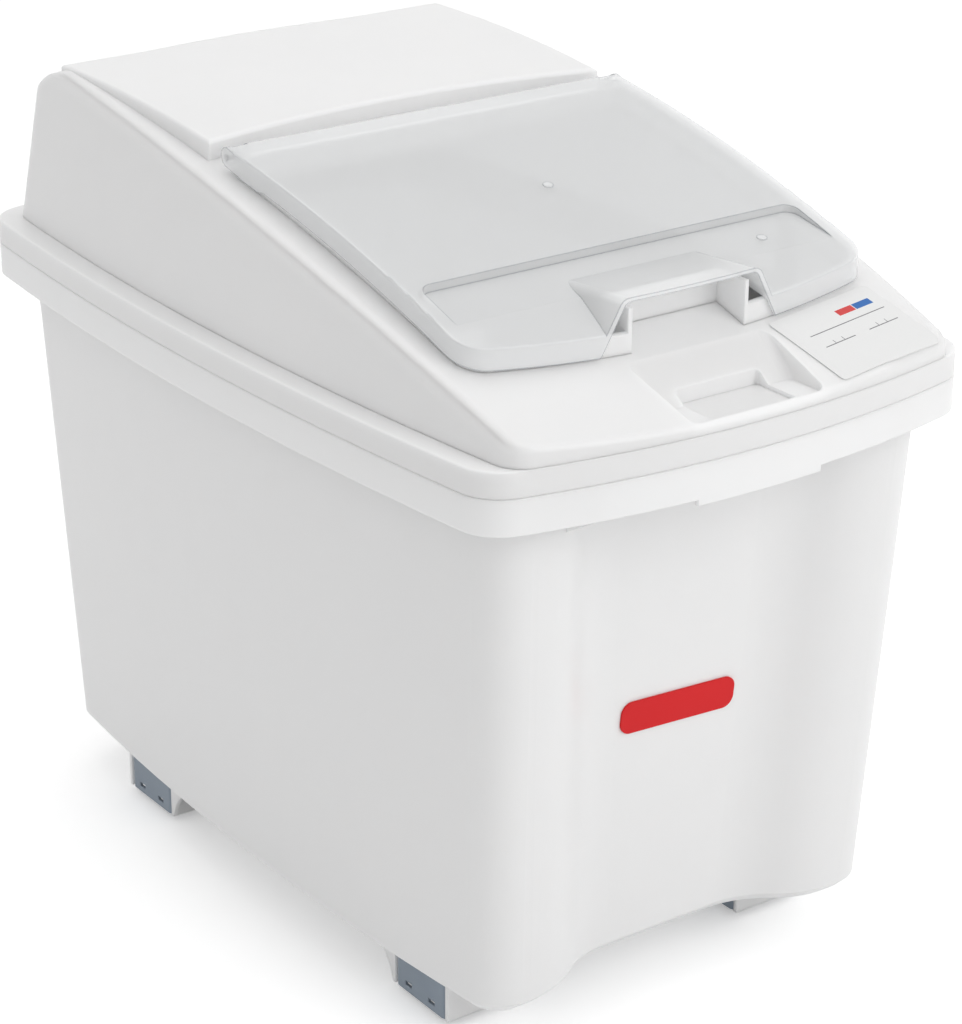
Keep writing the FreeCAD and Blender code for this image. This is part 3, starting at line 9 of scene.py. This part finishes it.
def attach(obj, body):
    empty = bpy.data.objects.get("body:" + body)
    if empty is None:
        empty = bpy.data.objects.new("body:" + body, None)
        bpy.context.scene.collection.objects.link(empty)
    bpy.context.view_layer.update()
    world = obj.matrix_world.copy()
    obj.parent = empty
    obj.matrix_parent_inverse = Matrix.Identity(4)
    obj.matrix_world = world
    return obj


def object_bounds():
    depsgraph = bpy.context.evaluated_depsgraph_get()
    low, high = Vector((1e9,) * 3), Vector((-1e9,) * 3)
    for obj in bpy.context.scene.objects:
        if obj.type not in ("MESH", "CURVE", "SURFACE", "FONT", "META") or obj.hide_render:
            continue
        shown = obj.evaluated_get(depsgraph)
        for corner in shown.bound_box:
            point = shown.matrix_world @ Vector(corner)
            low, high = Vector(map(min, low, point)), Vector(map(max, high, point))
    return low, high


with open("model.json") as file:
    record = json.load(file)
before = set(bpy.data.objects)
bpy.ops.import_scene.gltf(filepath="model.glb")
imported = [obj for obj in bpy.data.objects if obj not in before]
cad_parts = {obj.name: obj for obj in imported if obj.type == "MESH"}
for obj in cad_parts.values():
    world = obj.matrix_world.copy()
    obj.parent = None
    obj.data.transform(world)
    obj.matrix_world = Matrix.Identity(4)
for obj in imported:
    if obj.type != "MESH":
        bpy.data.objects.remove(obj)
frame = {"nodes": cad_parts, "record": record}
cad_low, cad_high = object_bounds()
nodes = frame["nodes"]
scene = bpy.context.scene

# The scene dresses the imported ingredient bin: plastics, rubber and steel, a plain label and a studio.
# Lengths are metres in the part's frame: +Z up, the front is -Y.


# Node helpers.
def add_node(tree, kind, values=None, **settings):
    """A new node with its settings and the plain values of its inputs."""
    node = tree.nodes.new(kind)
    for name, value in settings.items():
        setattr(node, name, value)
    for name, value in (values or {}).items():
        node.inputs[name].default_value = value
    return node


def math_node(tree, operation, first, second=None):
    """A math node; each input is a number or another node's output."""
    node = add_node(tree, "ShaderNodeMath", operation=operation)
    for place, value in enumerate((first, second)):
        if isinstance(value, (int, float)):
            node.inputs[place].default_value = value
        elif value is not None:
            tree.links.new(value, node.inputs[place])
    return node.outputs[0]


def mix_colours(tree, share, first, second):
    """A colour between two, each a plain colour or another node's output."""
    node = add_node(tree, "ShaderNodeMix", data_type="RGBA")
    tree.links.new(share, node.inputs["Factor"])
    for socket, value in ((node.inputs[6], first), (node.inputs[7], second)):
        if isinstance(value, tuple):
            socket.default_value = value
        else:
            tree.links.new(value, socket)
    return node.outputs[2]


def map_range(tree, value, low, high, new_low, new_high, smooth=False):
    """A value moved from one range to another and kept inside it."""
    node = add_node(tree, "ShaderNodeMapRange", {"From Min": low, "From Max": high, "To Min": new_low,
                                                 "To Max": new_high}, clamp=True)
    if smooth:
        node.interpolation_type = "SMOOTHSTEP"
    tree.links.new(value, node.inputs["Value"])
    return node.outputs[0]


def object_place(tree):
    """The point on the surface in the part's frame."""
    return add_node(tree, "ShaderNodeTexCoord").outputs["Object"]


def noise(tree, vector, scale, detail=2.0, roughness=0.5):
    """A noise value over a point."""
    node = add_node(tree, "ShaderNodeTexNoise", {"Scale": scale, "Detail": detail, "Roughness": roughness})
    tree.links.new(vector, node.inputs["Vector"])
    return node.outputs[0]


def new_group(name, inputs, outputs):
    """An empty node group with float or vector sockets, given as (name, kind, default)."""
    tree = bpy.data.node_groups.new(name, "ShaderNodeTree")
    for label, kind, default in inputs:
        socket = tree.interface.new_socket(label, in_out="INPUT", socket_type=kind)
        if default is not None:
            socket.default_value = default
    for label, kind in outputs:
        tree.interface.new_socket(label, in_out="OUTPUT", socket_type=kind)
    return tree, tree.nodes.new("NodeGroupInput"), tree.nodes.new("NodeGroupOutput")


# Moulded surfaces: noise scales are per metre, and each range is the stretch of a noise that is used.
GRAIN_DEFAULT = 420.0
CLOUD_SCALE = 7.0
NOISE_RANGE = (0.3, 0.7)
RUB_SCALE = 38.0
RUB_ROUGHNESS = 0.62
RUB_RANGE = (0.52, 0.72)


def make_moulded_group():
    """Moulded plastic: a fine orange-peel height, broad cloudiness and faint rubbed patches."""
    tree, given, made = new_group(
        "moulded_surface",
        [("Vector", "NodeSocketVector", None), ("Grain", "NodeSocketFloat", GRAIN_DEFAULT)],
        [("Height", "NodeSocketFloat"), ("Cloud", "NodeSocketFloat"), ("Rub", "NodeSocketFloat")])
    grain = add_node(tree, "ShaderNodeTexNoise", {"Detail": 3.0, "Roughness": 0.55})
    tree.links.new(given.outputs["Vector"], grain.inputs["Vector"])
    tree.links.new(given.outputs["Grain"], grain.inputs["Scale"])
    tree.links.new(grain.outputs[0], made.inputs["Height"])
    cloud = noise(tree, given.outputs["Vector"], CLOUD_SCALE, detail=3.0)
    tree.links.new(map_range(tree, cloud, *NOISE_RANGE, 0.0, 1.0, smooth=True), made.inputs["Cloud"])
    rub = noise(tree, given.outputs["Vector"], RUB_SCALE, detail=5.0, roughness=RUB_ROUGHNESS)
    tree.links.new(map_range(tree, rub, *RUB_RANGE, 0.0, 1.0), made.inputs["Rub"])
    return tree


def make_block_group():
    """A filled rectangle in a flat drawing: 1 inside, 0 outside."""
    tree, given, made = new_group(
        "filled_block",
        [("Vector", "NodeSocketVector", None),
         ("Across", "NodeSocketFloat", 0.0), ("Up", "NodeSocketFloat", 0.0),
         ("Half Width", "NodeSocketFloat", 0.01), ("Half Height", "NodeSocketFloat", 0.01)],
        [("Inside", "NodeSocketFloat")])
    split = add_node(tree, "ShaderNodeSeparateXYZ")
    tree.links.new(given.outputs["Vector"], split.inputs[0])
    inside = []
    for axis, centre, half in ((0, "Across", "Half Width"), (1, "Up", "Half Height")):
        away = math_node(tree, "SUBTRACT", split.outputs[axis], given.outputs[centre])
        away = math_node(tree, "ABSOLUTE", away)
        inside.append(math_node(tree, "LESS_THAN", away, given.outputs[half]))
    tree.links.new(math_node(tree, "MULTIPLY", *inside), made.inputs["Inside"])
    return tree


MOULDED = make_moulded_group()
BLOCK = make_block_group()


def use_group(tree, group, vector, **values):
    """A node that runs a group on a vector."""
    node = add_node(tree, "ShaderNodeGroup", node_tree=group)
    tree.links.new(vector, node.inputs["Vector"])
    for name, value in values.items():
        node.inputs[name.replace("_", " ")].default_value = value
    return node


def new_material(name, **sockets):
    """A material with one principled shader whose plain values are set on its own sockets."""
    material = bpy.data.materials.new(name)
    material.use_nodes = True
    shader = material.node_tree.nodes["Principled BSDF"]
    for label, value in sockets.items():
        shader.inputs[label.replace("_", " ")].default_value = value
    return material, material.node_tree, shader


def bump(tree, shader, height, distance, strength, normal=None):
    """Send a height to the shader's normal."""
    node = add_node(tree, "ShaderNodeBump", {"Strength": strength, "Distance": distance})
    tree.links.new(height, node.inputs["Height"])
    if normal is not None:
        tree.links.new(normal, node.inputs["Normal"])
    tree.links.new(node.outputs[0], shader.inputs["Normal"])


def rounded_normal(tree, radius):
    """The surface's normal, softened over its edges."""
    return add_node(tree, "ShaderNodeBevel", {"Radius": radius}, samples=6).outputs[0]


# Materials.
GRAIN_STRENGTH = 0.35
CLOUD_SHARE = 0.5


def moulded_plastic(name, dark, light, rough, grain, depth, edge, **sockets):
    """A moulded plastic between two close tints, with its grain, its cloudiness and rubbed patches."""
    material, tree, shader = new_material(name, **sockets)
    surface = use_group(tree, MOULDED, object_place(tree), Grain=grain)
    tree.links.new(mix_colours(tree, surface.outputs["Cloud"], dark, light), shader.inputs["Base Color"])
    gloss = math_node(tree, "ADD", math_node(tree, "MULTIPLY", surface.outputs["Cloud"], CLOUD_SHARE),
                      math_node(tree, "MULTIPLY", surface.outputs["Rub"], 1 - CLOUD_SHARE))
    tree.links.new(map_range(tree, gloss, 0.0, 1.0, *rough), shader.inputs["Roughness"])
    bump(tree, shader, surface.outputs["Height"], depth, GRAIN_STRENGTH, rounded_normal(tree, edge))
    return material


def make_milky():
    """Milky polypropylene that lets a little light through its walls."""
    return moulded_plastic(
        "milky_polypropylene", dark=(0.88, 0.882, 0.884, 1), light=(0.9, 0.901, 0.902, 1), rough=(0.34, 0.5),
        grain=520.0, depth=0.0001, edge=0.0012, Subsurface_Weight=0.6, Subsurface_Radius=(0.95, 0.98, 1.0),
        Subsurface_Scale=0.007, IOR=1.49)


# How far the softened normal agrees with the plain one on a face and on an edge.
FACE_AGREES = 0.995
EDGE_AGREES = 0.86


def edge_mask(tree, radius):
    """1 along the edges of a piece, 0 on its plain faces."""
    plain = add_node(tree, "ShaderNodeNewGeometry").outputs["Normal"]
    turn = add_node(tree, "ShaderNodeVectorMath", operation="DOT_PRODUCT")
    tree.links.new(plain, turn.inputs[0])
    tree.links.new(rounded_normal(tree, radius), turn.inputs[1])
    return map_range(tree, turn.outputs["Value"], FACE_AGREES, EDGE_AGREES, 0.0, 1.0, smooth=True)


# Clear door colours: the pale face veil is painted light, whitened for the lit inside of the bin seen
# through the door; the grey edge colour and the higher alpha there are painted shade for the dark lines that
# refraction draws along clear edges.
CLEAR_EDGE = 0.0016
CLEAR_PAINTED_LIGHT_VEIL = (0.95, 0.957, 0.962, 1)
CLEAR_PAINTED_EDGE_SHADE = (0.34, 0.36, 0.38, 1)
CLEAR_ALPHA = (0.52, 0.8)
CLEAR_ROUGH = (0.05, 0.12)
CLEAR_WAVE = 0.0006
CLEAR_WAVE_STRENGTH = 0.15


def make_clear():
    """Clear door plastic: a pale veil of painted light, whitened for the lit inside of the bin seen through
    it, with painted shade in grey along the edges for the dark lines that refraction draws there, and
    faintly rubbed patches.
    """
    material, tree, shader = new_material("clear_polycarbonate", IOR=1.5)
    surface = use_group(tree, MOULDED, object_place(tree), Grain=60.0)
    # Painted shade: the edges go grey and more opaque in place of refraction's dark lines; the faces keep
    # the whitened veil of painted light.
    edge = edge_mask(tree, CLEAR_EDGE)
    painted_veil_and_edge_shade = mix_colours(tree, edge, CLEAR_PAINTED_LIGHT_VEIL, CLEAR_PAINTED_EDGE_SHADE)
    tree.links.new(painted_veil_and_edge_shade, shader.inputs["Base Color"])
    tree.links.new(map_range(tree, edge, 0.0, 1.0, *CLEAR_ALPHA), shader.inputs["Alpha"])
    rough = map_range(tree, surface.outputs["Rub"], 0.0, 1.0, *CLEAR_ROUGH)
    tree.links.new(rough, shader.inputs["Roughness"])
    bump(tree, shader, surface.outputs["Cloud"], CLEAR_WAVE, CLEAR_WAVE_STRENGTH)
    return material


STEEL_STRETCH = (900.0, 900.0, 60.0)
STEEL_DARK = (0.52, 0.53, 0.55, 1)
STEEL_LIGHT = (0.7, 0.71, 0.72, 1)
STEEL_ROUGH = (0.24, 0.42)
STEEL_LINE_DEPTH = 0.00005
STEEL_LINE_STRENGTH = 0.2


def make_steel():
    """Zinc-plated steel with fine brushed lines."""
    material, tree, shader = new_material("plated_steel", Metallic=1.0)
    place = object_place(tree)
    stretch = add_node(tree, "ShaderNodeMapping", {"Scale": STEEL_STRETCH})
    tree.links.new(place, stretch.inputs["Vector"])
    lines = noise(tree, stretch.outputs[0], 1.0)
    tree.links.new(mix_colours(tree, lines, STEEL_DARK, STEEL_LIGHT), shader.inputs["Base Color"])
    tree.links.new(map_range(tree, lines, *NOISE_RANGE, *STEEL_ROUGH), shader.inputs["Roughness"])
    bump(tree, shader, lines, STEEL_LINE_DEPTH, STEEL_LINE_STRENGTH)
    return material


LABEL_CENTRE = (0.107, -0.280, 0.0)
LABEL_TURN = math.radians(8.0)
RED_INK = (0.62, 0.03, 0.03, 1)
BLUE_INK = (0.0, 0.12, 0.42, 1)
GREY_INK = (0.16, 0.16, 0.17, 1)
FILM_DARK = (0.77, 0.773, 0.77, 1)
FILM_LIGHT = (0.81, 0.81, 0.806, 1)
FILM_ROUGH = (0.38, 0.48)
FIBRE_SCALE = 800.0
FIBRE_DEPTH = 0.00003
FIBRE_STRENGTH = 0.25

# Printed blocks of the write-on label: ink, middle across and up, half width and half height, in metres.
PRINT = [
    (RED_INK, 0.0115, 0.0175, 0.0075, 0.0026),
    (BLUE_INK, 0.0275, 0.0175, 0.0078, 0.0026),
    (GREY_INK, 0.0035, 0.0085, 0.0345, 0.00035),
    (GREY_INK, -0.0165, -0.0035, 0.0135, 0.00035),
    (GREY_INK, 0.0235, -0.0035, 0.0135, 0.00035),
    (GREY_INK, -0.0205, -0.002, 0.00025, 0.0018),
    (GREY_INK, -0.0125, -0.002, 0.00025, 0.0018),
    (GREY_INK, 0.0195, -0.002, 0.00025, 0.0018),
    (GREY_INK, 0.0275, -0.002, 0.00025, 0.0018),
]


def make_label_film():
    """White printed film with plain colour blocks and write-in lines."""
    material, tree, shader = new_material("label_film")
    place = object_place(tree)
    local = add_node(tree, "ShaderNodeMapping", {"Location": LABEL_CENTRE, "Rotation": (0, 0, LABEL_TURN)},
                     vector_type="TEXTURE")
    tree.links.new(place, local.inputs["Vector"])
    fibre = noise(tree, place, FIBRE_SCALE, detail=3.0)
    colour = mix_colours(tree, fibre, FILM_DARK, FILM_LIGHT)
    for ink, across, up, half_width, half_height in PRINT:
        block = use_group(tree, BLOCK, local.outputs[0], Across=across, Up=up, Half_Width=half_width,
                          Half_Height=half_height)
        colour = mix_colours(tree, block.outputs[0], colour, ink)
    tree.links.new(colour, shader.inputs["Base Color"])
    tree.links.new(map_range(tree, fibre, *NOISE_RANGE, *FILM_ROUGH), shader.inputs["Roughness"])
    bump(tree, shader, fibre, FIBRE_DEPTH, FIBRE_STRENGTH)
    return material


MATERIALS = {
    "milky_plastic": make_milky(),
    "clear_plastic": make_clear(),
    "cup_grey": moulded_plastic(
        "cup_grey_nylon", dark=(0.22, 0.265, 0.32, 1), light=(0.27, 0.32, 0.38, 1), rough=(0.42, 0.58),
        grain=700.0, depth=0.0001, edge=0.0006),
    "wheel_grey": moulded_plastic(
        "wheel_grey_nylon", dark=(0.2, 0.2, 0.21, 1), light=(0.26, 0.26, 0.27, 1), rough=(0.4, 0.6),
        grain=700.0, depth=0.0001, edge=0.0004),
    "tyre_rubber": moulded_plastic(
        "dark_rubber", dark=(0.02, 0.02, 0.021, 1), light=(0.045, 0.044, 0.043, 1), rough=(0.6, 0.85),
        grain=900.0, depth=0.0002, edge=0.0004),
    "nylon_white": moulded_plastic(
        "washer_nylon", dark=(0.7, 0.7, 0.67, 1), light=(0.76, 0.76, 0.73, 1), rough=(0.4, 0.55),
        grain=900.0, depth=0.00005, edge=0.0002),
    "steel": make_steel(),
    "label_film": make_label_film(),
    "badge_red": moulded_plastic(
        "badge_red_film", dark=(0.6, 0.003, 0.006, 1), light=(0.66, 0.006, 0.009, 1), rough=(0.4, 0.5),
        grain=900.0, depth=0.00003, edge=0.0004, Specular_IOR_Level=0.25),
}

for entry in frame["record"]["subparts"]:
    part = nodes[entry["node"]]
    part.data.materials.clear()
    part.data.materials.append(MATERIALS[entry["material_slot"]])


# Gate marks of the door: name, place across and along.
GATE_MARKS = (("door_gate_middle", 0.0048, -0.1034), ("door_gate_front", 0.1005, -0.1985))
GATE_RADIUS = 0.0036
GATE_HEIGHT = 0.0011
GATE_SUNK_SHARE = 0.3
GATE_RIM = 0.0009
GATE_DISH = 0.0003
GATE_ROUND = 0.0003
GATE_SIDES = 40
FACES_UP = 0.9
SMOOTH_BELOW = math.radians(30)


def make_gate_mark(name, across, along):
    """The small dished stub that the moulding gate leaves on top of the door, square to the sheet."""
    above = Vector((across, along, cad_high[2] + GATE_HEIGHT))
    found, place, square, _ = nodes["door"].ray_cast(above, Vector((0, 0, -1)))
    if not found:
        raise RuntimeError(name + " misses the door")
    middle = place + square * GATE_HEIGHT * (0.5 - GATE_SUNK_SHARE)
    bpy.ops.object.select_all(action="DESELECT")
    bpy.ops.mesh.primitive_cylinder_add(vertices=GATE_SIDES, radius=GATE_RADIUS, depth=GATE_HEIGHT)
    stub = bpy.context.object
    stub.name = name
    bpy.ops.object.mode_set(mode="EDIT")
    bpy.ops.mesh.select_mode(type="FACE")
    bpy.ops.mesh.select_all(action="DESELECT")
    mesh = bmesh.from_edit_mesh(stub.data)
    for face in mesh.faces:
        face.select = face.normal.z > FACES_UP
    bmesh.update_edit_mesh(stub.data)
    bpy.ops.mesh.inset(thickness=GATE_RIM)
    bpy.ops.transform.translate(value=(0, 0, -GATE_DISH))
    bpy.ops.object.mode_set(mode="OBJECT")
    rounding = stub.modifiers.new("rounding", "BEVEL")
    rounding.width = GATE_ROUND
    rounding.segments = 3
    bpy.ops.object.modifier_apply(modifier=rounding.name)
    stub.location = middle
    stub.rotation_euler = square.to_track_quat("Z", "Y").to_euler()
    bpy.ops.object.transform_apply(location=True, rotation=True, scale=True)
    bpy.ops.object.shade_smooth_by_angle(angle=SMOOTH_BELOW)
    stub.data.materials.append(MATERIALS["clear_plastic"])
    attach(stub, "door_body")


for mark in GATE_MARKS:
    make_gate_mark(*mark)


# Studio.
FLOOR_SIZE = 14.0
FLOOR_TINT = (0.9, 0.9, 0.9, 1)
FLOOR_ROUGHNESS = 0.9
FLOOR_GLOW = 0.36
WORLD_LIGHT = 0.7
WHITE = (1, 1, 1, 1)

# Soft lights: name, place, aim, size and power.
LIGHTS = (
    ("key_light", (0.9, -2.4, 1.7), (0, 0, 0.3), 1.8, 20.0),
    ("top_light", (0.2, 0.5, 2.8), (0, 0, 0.4), 2.0, 13.0),
)

CAMERA_PLACE = Vector((-1.1080, -1.5871, 1.0695))
CAMERA_AIM = Vector((-0.00084, 0.00002, 0.25398))
CAMERA_ROLL = math.radians(-0.13)
CAMERA_SENSOR = 36.0
CAMERA_LENS = 107.98
CAMERA_SHIFT = (0.0332, -0.0043)
CAMERA_CLIP = (0.05, 60.0)


def background_rays(tree):
    """1 for the rays that show the white background itself or its mirror image, 0 for the rest."""
    path = add_node(tree, "ShaderNodeLightPath")
    mirrored = math_node(tree, "MAXIMUM", path.outputs["Is Glossy Ray"], path.outputs["Is Transmission Ray"])
    return math_node(tree, "MAXIMUM", path.outputs["Is Camera Ray"], mirrored)


def make_floor():
    """A plain pale floor that the bin stands on."""
    bpy.ops.object.select_all(action="DESELECT")
    bpy.ops.mesh.primitive_plane_add(size=FLOOR_SIZE, location=(0, 0, 0))
    floor = bpy.context.object
    floor.name = "studio_floor"
    material = bpy.data.materials.new("floor_pale")
    material.use_nodes = True
    tree = material.node_tree
    shader = tree.nodes["Principled BSDF"]
    shader.inputs["Base Color"].default_value = FLOOR_TINT
    shader.inputs["Roughness"].default_value = FLOOR_ROUGHNESS
    shader.inputs["Specular IOR Level"].default_value = 0.0
    shader.inputs["Emission Color"].default_value = WHITE
    glow = math_node(tree, "MULTIPLY", background_rays(tree), FLOOR_GLOW)
    tree.links.new(glow, shader.inputs["Emission Strength"])
    floor.data.materials.append(material)


def make_light(name, place, aim, size, power):
    """A large soft light turned to a point."""
    data = bpy.data.lights.new(name, "AREA")
    data.shape = "SQUARE"
    data.size = size
    data.energy = power
    light = bpy.data.objects.new(name, data)
    light.location = place
    light.rotation_euler = (Vector(aim) - Vector(place)).to_track_quat("-Z", "Y").to_euler()
    scene.collection.objects.link(light)


def make_world():
    """An even pale surround, white where it is seen itself or mirrored."""
    world = bpy.data.worlds.new("studio_world")
    scene.world = world
    world.use_nodes = True
    tree = world.node_tree
    background = tree.nodes["Background"]
    background.inputs["Color"].default_value = WHITE
    white = map_range(tree, background_rays(tree), 0.0, 1.0, WORLD_LIGHT, 1.0)
    tree.links.new(white, background.inputs["Strength"])


def make_camera():
    """The photograph's viewpoint in its 962 by 1024 frame."""
    data = bpy.data.cameras.new("main_camera")
    data.sensor_width = CAMERA_SENSOR
    data.lens = CAMERA_LENS
    data.shift_x, data.shift_y = CAMERA_SHIFT
    data.clip_start, data.clip_end = CAMERA_CLIP
    camera = bpy.data.objects.new("main_camera", data)
    turn = (CAMERA_AIM - CAMERA_PLACE).to_track_quat("-Z", "Y").to_matrix().to_4x4()
    roll = Matrix.Rotation(CAMERA_ROLL, 4, "Z")
    camera.matrix_world = Matrix.Translation(CAMERA_PLACE) @ turn @ roll
    scene.collection.objects.link(camera)
    scene.camera = camera


make_floor()
make_world()
for light in LIGHTS:
    make_light(*light)
make_camera()
scene.view_settings.view_transform = "Standard"
